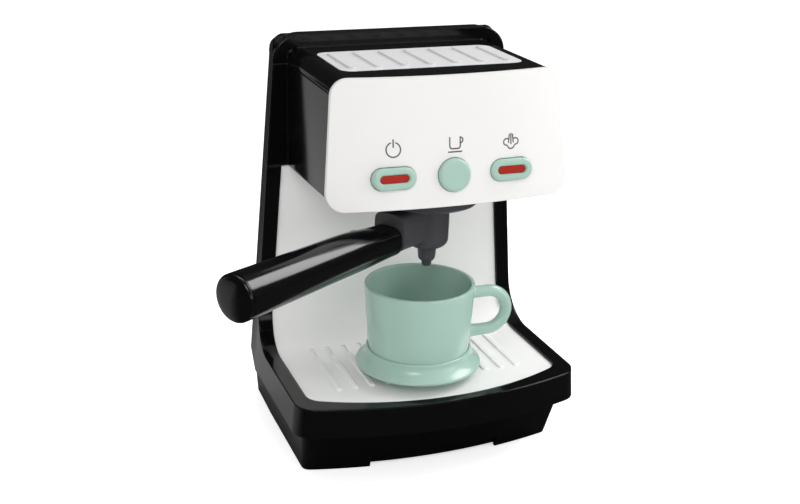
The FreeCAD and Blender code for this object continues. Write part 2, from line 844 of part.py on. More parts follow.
def signal_lamps():
    solids = []
    for x in (-side_control_x, side_control_x):
        for side in (-1, 1):
            place = x + side * lamp_offset
            solids.append(on_board(rod(lamp_radius, Vector(place, -lamp_height, 0), Vector(place, 0, 0))))
    return Part.makeCompound(solids)


def board_screws():
    solids = []
    for x, z in board_post_places():
        shank = rod(board_screw_radius - 0.1, Vector(x, -6, z), Vector(x, board_wall + 0.01, z))
        head = rod(board_screw_head_radius, Vector(x, board_wall, z), Vector(x, board_wall + 1.6, z))
        solids.append(on_board(shank.fuse(head)))
    return Part.makeCompound(solids)


# Brew group and filter holder

def group_collar():
    ledge_z = collar_bottom_z + collar_ledge
    bore = holder_radius + fit_gap
    chamber = holder_flange_radius + fit_gap
    ring = turned([
        (bore, collar_bottom_z),
        (collar_radius - 1.5, collar_bottom_z),
        (collar_radius, collar_bottom_z + 1.5),
        (collar_radius, control_z),
        (chamber, control_z),
        (chamber, ledge_z),
        (bore, ledge_z),
    ], 0, brew_y)
    return ring.cut(above_underside(0))


def along_handle(shape):
    """Turn a shape drawn along +X to the handle's direction, about the brew axis."""
    moved = shape.copy()
    moved.rotate(Vector(0, 0, 0), Vector(0, 0, 1), 270 - handle_turn)
    moved.translate(Vector(0, brew_y, 0))
    return moved


def holder_spigot(gap):
    return rod(nozzle_spigot_radius + gap, Vector(0, brew_y, holder_chamfer_z - 1),
               Vector(0, brew_y, holder_chamfer_z + nozzle_spigot_length + gap))


def filter_holder():
    flange_z = holder_top_z
    body = turned([
        (0, holder_chamfer_z),
        (holder_chamfer_radius, holder_chamfer_z),
        (holder_foot_radius, holder_bottom_z),
        (holder_radius, collar_bottom_z - 8),
        (holder_radius, flange_z),
        (holder_flange_radius, flange_z),
        (holder_flange_radius, flange_z + holder_flange_wall),
        (holder_radius - 2, flange_z + holder_flange_wall),
        (holder_radius - 2, collar_bottom_z - 6),
        (0, collar_bottom_z - 6),
    ], 0, brew_y)
    top_z = collar_bottom_z - fit_gap
    socket = box(0, socket_length, -socket_half_width, socket_half_width, socket_bottom_z, top_z)
    ends = [e for e in socket.Edges if all(abs(v.X - socket_length) < 0.1 for v in e.Vertexes)
            and abs(e.Vertexes[0].Z - e.Vertexes[1].Z) > 1]
    socket = socket.makeFillet(2.5, ends)
    tenon = rod(tenon_radius, Vector(socket_length - 1, 0, handle_z),
                Vector(socket_length + tenon_length, 0, handle_z))
    hollow = turned([(0, collar_bottom_z - 6), (holder_radius - 2, collar_bottom_z - 6),
                     (holder_radius - 2, 200), (0, 200)], 0, brew_y)
    holder = body.fuse(along_handle(socket.fuse(tenon))).cut(hollow)
    pilot = rod(handle_screw_radius - screw_clearance, Vector(socket_length + 4, 0, handle_z),
                Vector(socket_length + tenon_length + 1, 0, handle_z))
    return holder.cut(along_handle(pilot)).cut(holder_spigot(0)).removeSplitter()


def spout_nozzle():
    nozzle = turned([
        (nozzle_bore_radius, nozzle_tip_z),
        (nozzle_tip_radius, nozzle_tip_z),
        (nozzle_tip_radius + 0.6, nozzle_tip_z + 3.2),
        (nozzle_tip_radius + 1.6, nozzle_shoulder_z - 2.5),
        (nozzle_top_radius - 0.3, nozzle_shoulder_z + 1),
        (nozzle_top_radius, holder_chamfer_z),
        (nozzle_spigot_radius, holder_chamfer_z),
        (nozzle_spigot_radius, holder_chamfer_z + nozzle_spigot_length),
        (nozzle_bore_radius, holder_chamfer_z + nozzle_spigot_length),
    ], 0, brew_y)
    return nozzle


def neck_wire(x, half, low_z, top_z, chamfer):
    """The neck's flat-topped section with four chamfers, across the handle."""
    return polygon([
        Vector(x, -half, low_z + chamfer),
        Vector(x, -half + chamfer, low_z),
        Vector(x, half - chamfer, low_z),
        Vector(x, half, low_z + chamfer),
        Vector(x, half, top_z - chamfer),
        Vector(x, half - chamfer, top_z),
        Vector(x, -half + chamfer, top_z),
        Vector(x, -half, top_z - chamfer),
    ])


def handle_grip():
    start = socket_length
    root = start + neck_length
    neck = loft([neck_wire(x, neck_half_width, neck_bottom_z, neck_top_z,
                           neck_chamfer) for x in (start, root + 1)])
    barrel = Part.makeCone(grip_root_radius, grip_end_radius, grip_end - root, Vector(root, 0, handle_z),
                           Vector(1, 0, 0))
    ring = [e for e in barrel.Edges if len(e.Vertexes) == 1 and abs(e.Vertexes[0].X - root) < 0.1]
    barrel = barrel.makeFillet(1.5, ring)
    socket = rod(tenon_radius, Vector(start - 1, 0, handle_z), Vector(start + tenon_length, 0, handle_z))
    channel = rod(handle_screw_radius + screw_clearance, Vector(start, 0, handle_z),
                  Vector(grip_end + 1, 0, handle_z))
    seat = rod(handle_screw_head_radius + screw_clearance, Vector(start + tenon_length + 12, 0, handle_z),
               Vector(grip_end + 1, 0, handle_z))
    return along_handle(neck.fuse(barrel).cut(socket).cut(channel).cut(seat).removeSplitter())


def handle_screw():
    seat_x = socket_length + tenon_length + 12
    shank = rod(handle_screw_radius - screw_clearance, Vector(socket_length + 12, 0, handle_z),
                Vector(seat_x + 0.01, 0, handle_z))
    head = rod(handle_screw_head_radius, Vector(seat_x, 0, handle_z), Vector(seat_x + 3, 0, handle_z))
    return along_handle(shank.fuse(head))


def handle_end_cap():
    """The domed cap that plugs the grip's end, with a ring groove behind it."""
    edge = grip_end_radius
    sphere_radius = (edge ** 2 + cap_dome ** 2) / (2 * cap_dome)
    top_x = grip_end + cap_length
    start = Vector(top_x, edge, 0)
    tip = Vector(top_x + cap_dome, 0, 0)
    centre_x = top_x + cap_dome - sphere_radius
    half_angle = math.atan2(edge, top_x - centre_x) / 2
    middle = Vector(centre_x + sphere_radius * math.cos(half_angle), sphere_radius * math.sin(half_angle),
                    0)
    dome = Part.Arc(start, middle, tip).toShape()
    plug = handle_screw_head_radius
    lines = Part.makePolygon([
        tip,
        Vector(grip_end - 6, 0, 0),
        Vector(grip_end - 6, plug, 0),
        Vector(grip_end, plug, 0),
        Vector(grip_end, edge - cap_groove, 0),
        Vector(grip_end + 1.0, edge - cap_groove, 0),
        Vector(grip_end + 1.0, edge, 0),
        start,
    ])
    solid = Part.Face(Part.Wire([dome] + lines.Edges)).revolve(Vector(0, 0, 0), Vector(1, 0, 0), 360)
    solid.translate(Vector(0, 0, handle_z))
    return along_handle(solid)


# Cup and saucer

def saucer():
    foot_z = tray_z + saucer_foot_gap
    under_z = saucer_floor_z - saucer_wall
    rim_top_z = saucer_rim_z + saucer_rim_wall
    recess = cup_foot_radius + fit_gap
    sag = Vector(saucer_neck_radius + 0.9, 0, rim_top_z + 3.6)
    skirt_arc = Part.Arc(Vector(saucer_rim_radius - 0.6, 0, rim_top_z), sag,
                         Vector(saucer_neck_radius, 0, saucer_neck_z)).toShape()
    lines = Part.makePolygon([
        Vector(saucer_neck_radius, 0, saucer_neck_z),
        Vector(saucer_neck_radius - 0.3, 0, saucer_top_z),
        Vector(recess, 0, saucer_top_z),
        Vector(recess, 0, saucer_floor_z),
        Vector(0, 0, saucer_floor_z),
        Vector(0, 0, under_z),
        Vector(saucer_foot_radius - saucer_wall, 0, under_z),
        Vector(saucer_foot_radius - saucer_wall, 0, foot_z),
        Vector(saucer_foot_radius, 0, foot_z),
        Vector(saucer_foot_radius, 0, under_z),
        Vector(saucer_hollow_top_radius, 0, under_z),
        Vector(saucer_hollow_low_radius, 0, saucer_rim_z),
        Vector(saucer_rim_radius, 0, saucer_rim_z),
        Vector(saucer_rim_radius, 0, rim_top_z - 0.6),
        Vector(saucer_rim_radius - 0.6, 0, rim_top_z),
    ])
    solid = Part.Face(Part.Wire([skirt_arc] + lines.Edges)).revolve(Vector(0, 0, 0), Vector(0, 0, 1), 360)
    solid.translate(Vector(cup_x, cup_y, 0))
    return solid


def cup():
    rim_mid = cup_rim_radius - cup_wall / 2
    side = Part.Arc(Vector(cup_foot_radius, 0, cup_foot_z + cup_foot_edge),
                    Vector((cup_foot_radius + cup_rim_radius) / 2 + 0.5, 0, (cup_foot_z + cup_rim_z) / 2),
                    Vector(cup_rim_radius, 0, cup_rim_z - cup_wall / 2)).toShape()
    rim = Part.Arc(Vector(cup_rim_radius, 0, cup_rim_z - cup_wall / 2), Vector(rim_mid, 0, cup_rim_z),
                   Vector(cup_rim_radius - cup_wall, 0, cup_rim_z - cup_wall / 2)).toShape()
    floor_z = cup_foot_z + cup_floor
    inner_foot = cup_foot_radius - cup_wall
    fillet = 5.0
    inner = Part.makePolygon([
        Vector(cup_rim_radius - cup_wall, 0, cup_rim_z - cup_wall / 2),
        Vector(inner_foot, 0, floor_z + fillet),
    ])
    corner = Part.Arc(Vector(inner_foot, 0, floor_z + fillet),
                      Vector(inner_foot - fillet * 0.293, 0, floor_z + fillet * 0.293),
                      Vector(inner_foot - fillet, 0, floor_z)).toShape()
    floor = Part.makePolygon([
        Vector(inner_foot - fillet, 0, floor_z),
        Vector(0, 0, floor_z),
        Vector(0, 0, cup_foot_z),
        Vector(cup_foot_radius - cup_foot_edge, 0, cup_foot_z),
        Vector(cup_foot_radius, 0, cup_foot_z + cup_foot_edge),
    ])
    outline = Part.Wire([side, rim] + inner.Edges + [corner] + floor.Edges)
    bowl = Part.Face(outline).revolve(Vector(0, 0, 0), Vector(0, 0, 1), 360)
    inside = turned([(0, floor_z), (inner_foot, floor_z), (cup_rim_radius - cup_wall, cup_rim_z + 1),
                     (0, cup_rim_z + 1)], 0, 0)
    solid = bowl.fuse(ear().cut(inside)).removeSplitter()
    solid.translate(Vector(cup_x, cup_y, 0))
    return solid


def ear():
    """The cup's D-shaped handle: a flattened round section carried along straight runs and two bends."""
    start_x = cup_foot_radius - 2
    line_x = ear_reach - ear_thickness / 2
    middle_z = (ear_top_z + ear_bottom_z) / 2
    rise = (ear_top_z - ear_bottom_z) / 2
    top = Vector(start_x, 0, ear_top_z)
    top_end = Vector(line_x - rise, 0, ear_top_z)
    low_end = Vector(line_x - rise, 0, ear_bottom_z)
    low = Vector(start_x, 0, ear_bottom_z)
    bend = Part.Arc(top_end, Vector(line_x, 0, middle_z), low_end).toShape()
    path = Part.Wire([Part.makeLine(top, top_end), bend, Part.makeLine(low_end, low)])
    across = Vector(start_x, ear_width / 2, ear_top_z)
    over = Vector(start_x, 0, ear_top_z + ear_thickness / 2)
    section = Part.Ellipse(across, over, top).toShape()
    return path.makePipeShell([Part.Wire([section])], True, False)


# Rear cover, battery bay and loudspeaker

def bay_block(gap, y0, y1):
    return box(-bay_half - gap, bay_half + gap, y0, y1, bay_low_z - gap, bay_high_z + gap)


def door_outline(gap, y0, y1):
    reach = door_lap + gap
    plate = box(-bay_half - reach, bay_half + reach, y0, y1, bay_low_z - reach,
                bay_high_z + bay_wall + reach)
    tab = box(-door_tab_half - gap, door_tab_half + gap, y0, y1, bay_high_z,
              door_screw_z + door_tab_height / 2 + gap)
    return plate.fuse(tab).removeSplitter()


def rear_cover():
    inner_y = rear_y - rear_cover_wall
    cover = rear_cover_plate(fit_gap, inner_y, rear_y)
    cover = cover.cut(bay_block(0, inner_y - 1, rear_y + 1))
    cover = cover.cut(door_outline(fit_gap, rear_y - door_wall, rear_y + 1))
    for x, z in rear_screw_places():
        cover = cover.cut(rod(screw_radius + screw_clearance, Vector(x, inner_y - 1, z),
                              Vector(x, rear_y + 1, z)))
        cover = cover.cut(rod(screw_head_radius + screw_clearance,
                              Vector(x, rear_y - screw_head_depth + 0.7, z), Vector(x, rear_y + 1, z)))
    boss = rod(boss_radius, Vector(0, inner_y - 8, door_screw_z), Vector(0, inner_y + 0.5, door_screw_z))
    cover = cover.fuse(boss)
    cover = cover.cut(rod(door_screw_radius + screw_clearance, Vector(0, inner_y - 7.5, door_screw_z),
                          Vector(0, rear_y + 1, door_screw_z)))
    ring = rod(speaker_radius + fit_gap + speaker_ring_wall,
               Vector(0, inner_y - speaker_ring_depth, speaker_z), Vector(0, inner_y + 0.5, speaker_z))
    ring = ring.cut(rod(speaker_radius + fit_gap, Vector(0, inner_y - speaker_ring_depth - 1, speaker_z),
                        Vector(0, inner_y, speaker_z)))
    cover = cover.fuse(ring)
    for i in range(speaker_slot_count):
        z = speaker_z + (i - (speaker_slot_count - 1) / 2) * speaker_slot_pitch
        reach = math.sqrt((speaker_radius - 2) ** 2 - (z - speaker_z) ** 2)
        cover = cover.cut(box(-reach, reach, inner_y - 0.5, rear_y + 1, z - speaker_slot_height / 2,
                              z + speaker_slot_height / 2))
    return cover.removeSplitter()


def battery_box():
    inner_y = rear_y - rear_cover_wall
    front_y = cell_y - cell_radius - bay_clearance
    outer = box(-bay_half - bay_wall, bay_half + bay_wall, front_y - bay_wall, inner_y,
                bay_low_z - bay_wall, bay_high_z + bay_wall)
    holder = outer.cut(bay_block(0, front_y, rear_y))
    for i in range(cell_count - 1):
        x = (i - (cell_count - 2) / 2) * cell_pitch
        holder = holder.fuse(box(x - 0.2, x + 0.2, front_y - 0.5, front_y + 4, bay_low_z + 6,
                                 bay_high_z - 6))
    return holder.removeSplitter()


def battery_cells():
    solids = []
    for i in range(cell_count):
        x = (i - (cell_count - 1) / 2) * cell_pitch
        solids.append(rod(cell_radius, Vector(x, cell_y, cell_low_z),
                          Vector(x, cell_y, cell_low_z + cell_length)))
    return Part.makeCompound(solids)


def battery_contacts():
    solids = []
    for i in range(cell_count):
        x = (i - (cell_count - 1) / 2) * cell_pitch
        half = contact_size / 2
        for z in (bay_low_z, bay_high_z - contact_wall):
            solids.append(box(x - half, x + half, cell_y - half, cell_y + half, z, z + contact_wall))
    return Part.makeCompound(solids)


def battery_door():
    door = door_outline(0, rear_y - door_wall, rear_y)
    uprights = [e for e in door.Edges if len(e.Vertexes) == 2 and abs(e.Vertexes[0].Y - e.Vertexes[1].Y) > 0.9 * door_wall]
    door = door.makeFillet(1.0, uprights)
    plug = bay_block(-fit_gap, rear_y - rear_cover_wall + 0.2, rear_y - door_wall + 0.01)
    door = door.fuse(plug.cut(bay_block(-fit_gap - 1.4, 0, rear_y)))
    hole = rod(door_screw_radius + screw_clearance, Vector(0, 0, door_screw_z),
               Vector(0, rear_y + 1, door_screw_z))
    return door.cut(hole).removeSplitter()


def battery_door_screw():
    shank = rod(door_screw_radius - 0.2, Vector(0, rear_y - door_screw_length, door_screw_z),
                Vector(0, rear_y + 0.01, door_screw_z))
    head = rod(door_screw_head_radius, Vector(0, rear_y, door_screw_z),
               Vector(0, rear_y + 1.4, door_screw_z))
    return shank.fuse(head)


def speaker():
    inner_y = rear_y - rear_cover_wall
    front = inner_y - speaker_depth
    body = rod(speaker_radius, Vector(0, inner_y - 3, speaker_z), Vector(0, inner_y, speaker_z))
    magnet = rod(speaker_radius * 0.55, Vector(0, front, speaker_z), Vector(0, inner_y - 2.9, speaker_z))
    return body.fuse(magnet).removeSplitter()


# Fasteners

def pan_screw(seat, direction, length):
    """A pan-head screw whose head sits on a seat and whose shank points along a direction."""
    head = rod(screw_head_radius, seat, seat - direction * 1.3)
    shank = rod(screw_radius - screw_clearance, seat - direction * 0.01, seat + direction * length)
    return head.fuse(shank)


def rear_cover_screws():
    seat_y = rear_y - screw_head_depth + 0.7
    screws = [pan_screw(Vector(x, seat_y, z), Vector(0, -1, 0), screw_length) for x,
              z in rear_screw_places()]
    return Part.makeCompound(screws)


def base_screws():
    seat_z = screw_head_depth - 0.3
    screws = [pan_screw(Vector(x, y, seat_z), Vector(0, 0, 1), screw_length) for x,
              y in base_screw_places()]
    return Part.makeCompound(screws)


def cover_screws():
    seat_z = cover_split_z + 6
    screws = [pan_screw(Vector(x, y, seat_z), Vector(0, 0, -1), screw_length) for x,
              y in cover_screw_places()]
    return Part.makeCompound(screws)


parts = {
    "body_shell": body_shell,
    "base_plate": base_plate,
    "drip_panel": drip_panel,
    "upper_shell": upper_shell,
    "top_cover": top_cover,
    "top_grille": top_grille,
    "rear_cover": rear_cover,
    "front_panel": front_panel,
    "power_button": lambda: oval_button(-side_control_x),
    "power_lens": lambda: lens(-side_control_x),
    "power_button_dome": lambda: button_dome(-side_control_x, oval_length / 2),
    "brew_button": round_button,
    "brew_button_dome": lambda: button_dome(0, round_button_diameter / 2),
    "steam_button": lambda: oval_button(side_control_x),
    "steam_lens": lambda: lens(side_control_x),
    "steam_button_dome": lambda: button_dome(side_control_x, oval_length / 2),
    "circuit_board": circuit_board,
    "button_switches": button_switches,
    "signal_lamps": signal_lamps,
    "board_screws": board_screws,
    "group_collar": group_collar,
    "filter_holder": filter_holder,
    "spout_nozzle": spout_nozzle,
    "handle_grip": handle_grip,
    "handle_end_cap": handle_end_cap,
    "handle_screw": handle_screw,
    "saucer": saucer,
    "cup": cup,
    "battery_box": battery_box,
    "battery_cells": battery_cells,
    "battery_contacts": battery_contacts,
    "battery_door": battery_door,
    "battery_door_screw": battery_door_screw,
    "speaker": speaker,
    "rear_cover_screws": rear_cover_screws,
    "base_screws": base_screws,
    "cover_screws": cover_screws,
}

os.makedirs("parts", exist_ok=True)
for name, make in parts.items():
    shape = make()
    print(name, shape.isValid(), len(shape.Solids), round(shape.Volume), shape.BoundBox)
    shape.exportStep(os.path.join("parts", name + ".step"))
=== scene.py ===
"""Looks of a toy coffee maker: glossy black tower, white panels, mint buttons, cup and saucer.

Everything is in metres, in the frame's own axes: +X right, +Y back, +Z up.
"""
import json
import math

import bmesh
import bpy
import numpy as np
from mathutils import Matrix, Vector


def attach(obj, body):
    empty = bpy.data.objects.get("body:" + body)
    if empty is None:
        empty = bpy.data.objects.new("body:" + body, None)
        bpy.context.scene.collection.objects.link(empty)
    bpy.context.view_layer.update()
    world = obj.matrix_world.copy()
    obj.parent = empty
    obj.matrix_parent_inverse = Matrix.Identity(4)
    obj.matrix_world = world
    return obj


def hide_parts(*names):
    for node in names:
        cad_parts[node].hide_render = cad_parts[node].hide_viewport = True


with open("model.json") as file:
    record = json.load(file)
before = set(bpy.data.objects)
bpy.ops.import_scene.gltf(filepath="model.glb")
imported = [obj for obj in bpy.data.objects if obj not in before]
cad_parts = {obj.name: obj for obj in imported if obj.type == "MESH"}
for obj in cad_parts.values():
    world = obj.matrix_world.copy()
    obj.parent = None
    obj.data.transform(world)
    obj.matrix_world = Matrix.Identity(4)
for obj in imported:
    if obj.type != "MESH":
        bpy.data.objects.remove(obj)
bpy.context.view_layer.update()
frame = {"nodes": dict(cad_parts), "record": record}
scene = bpy.context.scene

MM = 0.001

# Mesh making: points closer than this are one, shorter edges go, and sharper edges stay sharp
WELD_DISTANCE = 1e-6
SHORTEST_EDGE = 1e-7
SMOOTH_ANGLE = math.radians(38)

# The photograph's camera
IMAGE_WIDTH = 800
SENSOR_WIDTH = 36.0
CAMERA_FOCAL_PX = 1245.516
CAMERA_AZIMUTH = math.radians(-20.437)
CAMERA_ELEVATION = math.radians(19.781)
CAMERA_ROLL = math.radians(1.162)
CAMERA_DISTANCE = 841.475 * MM
CAMERA_TARGET = np.array([-6.325, 0.0, 127.601]) * MM

# The front panel's outer surface, with the sizes that the part gives it
PANEL_LOW_Z = 183.0 * MM
PANEL_HIGH_Z = 261.5 * MM
PANEL_HALF_LOW = 79.9 * MM
PANEL_HALF_HIGH = 73.1 * MM
PANEL_CORNER_Y_LOW = -68.5 * MM
PANEL_CORNER_Y_HIGH = -58.9 * MM
PANEL_BOW = 8.0 * MM

# Depth of the splash back's flat upright stretch
SPLASH_Y = 41.5 * MM

# Studio: light levels, and where the ceiling and the pale card begin
WORLD_LEVEL = 0.64
ROOM_LEVEL = 0.03
CEILING_LEVEL = 0.25
CEILING_START = 0.55
CEILING_FULL = 0.95
FLOOR_HALF_SIZE = 6.0
FLOOR_DROP = 0.2 * MM
FLOOR_LEVEL = 0.82
FLOOR_GLOW = 0.6
CARD_LEVEL = 0.5
CARD_EDGE_X = -0.10
CARD_EDGE_Y = -0.05
CARD_SOFTNESS_X = 0.03
CARD_SOFTNESS_Y = 0.05

# Surface texture of moulded plastic
MOTTLING_SCALE = 45.0
MOTTLING_LOW = 0.3
MOTTLING_HIGH = 0.7
GRAIN_SCALE = 900.0
GRAIN_DEPTH = 0.05 * MM
ROUGHNESS_LOW = 0.85
ROUGHNESS_HIGH = 1.2
BEVEL_SAMPLES = 6

# Printed symbols
PRINT_HEIGHT = 0.06 * MM
LINE_WIDTH = 0.85 * MM
SYMBOL_Z = 219.4 * MM
POWER_X = -38.0 * MM
CUP_SIGN_X = 0.8 * MM
STEAM_X = 38.6 * MM
BEAN_LINE_WIDTH = 0.5 * MM
BEAN_HALF_LENGTH = 4.4 * MM
BEAN_PLUMPNESS = 0.68
BEAN_CREASE_SWING = 0.16
BEAN_PLACES = ((-27.0, 128.0, 25), (-17.5, 126.0, -40), (-8.5, 129.5, 10))

# Cup and saucer, about their own axis
CUP_AXIS = np.array([-3.7, -31.4]) * MM
EAR_REACH = 63.1 * MM
EAR_TOP_Z = 105.6 * MM
EAR_BOTTOM_Z = 78.0 * MM
EAR_START = 34.2 * MM
EAR_HALF_THICKNESS = 4.0 * MM
EAR_HALF_WIDTH = 4.1 * MM
EAR_FLARE = 0.42
EAR_FLARE_START = 35.4 * MM
EAR_FLARE_LENGTH = 1.9 * MM

# Filter holder and its handle, about the brew axis
BREW_AXIS = np.array([0.0, -32.7]) * MM
HANDLE_ANGLE = math.radians(270 - 58.3)
HANDLE_Z = 158.3 * MM
NECK_START = 39.5 * MM
NECK_END = 57.0 * MM
NECK_HALF_WIDTH = 11.0 * MM
NECK_HALF_HEIGHT = 9.4 * MM
NECK_MIDDLE_Z = 157.6 * MM
NECK_PAD_Z = 166.6 * MM
NECK_POWER = 2.9
NECK_EDGE = 2.0 * MM
NECK_EDGE_DEPTH = 1.4 * MM
ROUNDING_LENGTH = 44.0 * MM
GRIP_ROOT_RADIUS = 12.1 * MM
GRIP_END = 172.0 * MM
GRIP_END_RADIUS = 14.2 * MM
ARM_START = 3.0 * MM
ARM_SPREAD_START = 10.0 * MM
ARM_HALF_WIDTH = 8.6 * MM
ARM_SPREAD = 3.2 * MM
ARM_LOW_Z = 148.5 * MM
ARM_LOW_RISE = 2.0 * MM
ARM_HIGH_Z = 174.0 * MM
ARM_POWER = 4.5

# Drip ribs
RIB_COUNT = 12
RIB_PITCH = 11.5 * MM
RIB_HALF_WIDTH = 2.3 * MM
RIB_HEIGHT = 1.1 * MM
RIB_FRONT_Y = -46.5 * MM
RIB_REAR_Y = 9.0 * MM
RIB_ROOT = 0.5 * MM
TRAY_Z = 54.0 * MM


def panel_y(x, z):
    """Depth of the front panel: its leaning corner line, less a bow that fades with the square of x."""
    share = (z - PANEL_LOW_Z) / (PANEL_HIGH_Z - PANEL_LOW_Z)
    half = PANEL_HALF_LOW + (PANEL_HALF_HIGH - PANEL_HALF_LOW) * share
    corner = PANEL_CORNER_Y_LOW + (PANEL_CORNER_Y_HIGH - PANEL_CORNER_Y_LOW) * share
    return corner - PANEL_BOW * (1 - (x / half) ** 2)


def new_object(name, points, faces):
    """An object at the origin whose mesh holds the points and faces."""
    mesh = bpy.data.meshes.new(name)
    mesh.from_pydata(points.tolist(), [], faces.tolist())
    mesh.update()
    piece = bpy.data.objects.new(name, mesh)
    scene.collection.objects.link(piece)
    return piece


def grid_faces(rows, columns, closed_rows=False, closed_columns=False):
    """Quads of a grid of rows x columns points, wrapped where a direction is closed."""
    i = np.arange(rows if closed_rows else rows - 1)
    j = np.arange(columns if closed_columns else columns - 1)
    a, b = np.meshgrid(i, j, indexing="ij")
    a, b = a.ravel(), b.ravel()
    up, right = (a + 1) % rows, (b + 1) % columns
    return np.stack([a * columns + b, a * columns + right, up * columns + right, up * columns + b], axis=1)


def unit_rows(vectors):
    """Each row divided by its own length."""
    return vectors / np.linalg.norm(vectors, axis=1)[:, None]


def ribbon(path, width, closed=False):
    """Two rails either side of a flat path, along its normals: path +/- normal * width / 2."""
    path = np.asarray(path, float)
    ahead = np.roll(path, -1, axis=0) - path
    back = path - np.roll(path, 1, axis=0)
    if not closed:
        ahead[-1] = back[-1]
        back[0] = ahead[0]
    along = unit_rows(unit_rows(ahead) + unit_rows(back))
    normal = np.stack([-along[:, 1], along[:, 0]], axis=1)
    return np.stack([path - normal * width / 2, path + normal * width / 2], axis=1)


def printed_line(name, path, surface_y, width=LINE_WIDTH, closed=False):
    """A thin raised print: the ribbon's rails laid on a surface and its height in front of it."""
    rails = ribbon(path, width, closed)
    count = len(rails)
    across, up = rails[:, :, 0], rails[:, :, 1]
    depth = surface_y(across, up)
    outer = np.stack([across, depth - PRINT_HEIGHT, up], axis=2)
    inner = np.stack([across, depth + PRINT_HEIGHT / 2, up], axis=2)
    section = np.stack([outer[:, 0], outer[:, 1], inner[:, 1], inner[:, 0]], axis=1)
    faces = grid_faces(count, 4, closed_rows=closed, closed_columns=True)
    piece = new_object(name, section.reshape(-1, 3), faces)
    mesh = bmesh.new()
    mesh.from_mesh(piece.data)
    if not closed:
        add_end_faces(mesh, count)
    bmesh.ops.recalc_face_normals(mesh, faces=mesh.faces)
    mesh.to_mesh(piece.data)
    mesh.free()
    return piece


def add_end_faces(mesh, count):
    """Adds the two end quads of an open four-sided strip."""
    mesh.verts.ensure_lookup_table()
    last = (count - 1) * 4
    mesh.faces.new([mesh.verts[k] for k in (0, 1, 2, 3)])
    mesh.faces.new([mesh.verts[last + k] for k in (3, 2, 1, 0)])


def arc(centre, radius, start, end, count=40):
    """Points on a circle: centre + radius * (cos, sin), angles in degrees."""
    angle = np.radians(np.linspace(start, end, count))
    return np.stack([centre[0] + radius * np.cos(angle), centre[1] + radius * np.sin(angle)], axis=1)


def line(a, b, count=6):
    """Evenly spaced points from a to b."""
    share = np.linspace(0, 1, count)[:, None]
    return np.asarray(a) * (1 - share) + np.asarray(b) * share


def chain(*parts):
    """Joins runs of points, leaving out each run's repeated first point."""
    return np.concatenate([parts[0]] + [p[1:] for p in parts[1:]])


def smooth(piece):
    """Smooth shading that keeps the sharper edges."""
    piece.data.shade_smooth()
    piece.data.set_sharp_from_angle(angle=SMOOTH_ANGLE)


def weld(piece):
    """Joins coinciding points and turns the faces outwards."""
    mesh = bmesh.new()
    mesh.from_mesh(piece.data)
    bmesh.ops.remove_doubles(mesh, verts=mesh.verts, dist=WELD_DISTANCE)
    bmesh.ops.dissolve_degenerate(mesh, edges=mesh.edges, dist=SHORTEST_EDGE)
    bmesh.ops.recalc_face_normals(mesh, faces=mesh.faces)
    mesh.to_mesh(piece.data)
    mesh.free()


def turned_points(profile, axis, count):
    """A profile of (radius, height) points turned about a vertical axis: axis + radius * (cos, sin)."""
    angle = np.linspace(0, 2 * math.pi, count, endpoint=False)
    x = axis[0] + profile[:, :1] * np.cos(angle)
    y = axis[1] + profile[:, :1] * np.sin(angle)
    z = np.repeat(profile[:, 1:], count, axis=1)
    return np.stack([x, y, z], axis=2)


def turned_piece(name, profile, axis, count):
    """A closed turned solid; the profile starts and ends on the axis, or runs back to its start."""
    rings = turned_points(profile, axis, count)
    faces = grid_faces(len(profile), count, closed_columns=True)
    piece = new_object(name, rings.reshape(-1, 3), faces)
    weld(piece)
    smooth(piece)
    return piece


def tube_piece(name, rings):
    """A closed solid through rings of points, with a flat fan at each end."""
    rows, columns = rings.shape[:2]
    start = np.repeat(rings[:1].mean(axis=1, keepdims=True), columns, axis=1)
    end = np.repeat(rings[-1:].mean(axis=1, keepdims=True), columns, axis=1)
    points = np.concatenate([start, rings, end])
    faces = grid_faces(rows + 2, columns, closed_columns=True)
    piece = new_object(name, points.reshape(-1, 3), faces)
    weld(piece)
    smooth(piece)
    return piece


def bend(start, corner, end, count=8):
    """A rounded corner of a profile: a quadratic curve from start to end that leans to the corner."""
    t = np.linspace(0, 1, count)[:, None]
    start, corner, end = (np.asarray(p, float) for p in (start, corner, end))
    return (1 - t) ** 2 * start + 2 * t * (1 - t) * corner + t ** 2 * end


def profile_of(*runs):
    """Joins single points and curves of a profile, given in millimetres, into one list in metres."""
    return np.concatenate([np.atleast_2d(np.asarray(run, float)) for run in runs]) * MM


# Materials

def constant_inputs(shader, values):
    """Sets constant numbers on the shader's own sockets."""
    for socket, value in values.items():
        shader.inputs[socket].default_value = value


def colour_mottling(tree, cloud, colour, mottling):
    """A colour that sways by the share of mottling with the cloud noise."""
    ramp = tree.nodes.new("ShaderNodeValToRGB")
    low, high = ramp.color_ramp.elements
    low.position = MOTTLING_LOW
    low.color = [c * (1 - mottling) for c in colour] + [1]
    high.position = MOTTLING_HIGH
    high.color = [min(1.0, c * (1 + mottling)) for c in colour] + [1]
    tree.links.new(cloud.outputs["Fac"], ramp.inputs["Fac"])
    return ramp.outputs["Color"]


def roughness_spread(tree, cloud, roughness):
    """A roughness that varies a little with the cloud noise."""
    spread = tree.nodes.new("ShaderNodeMapRange")
    spread.inputs["To Min"].default_value = roughness * ROUGHNESS_LOW
    spread.inputs["To Max"].default_value = roughness * ROUGHNESS_HIGH
    tree.links.new(cloud.outputs["Fac"], spread.inputs["Value"])
    return spread.outputs["Result"]


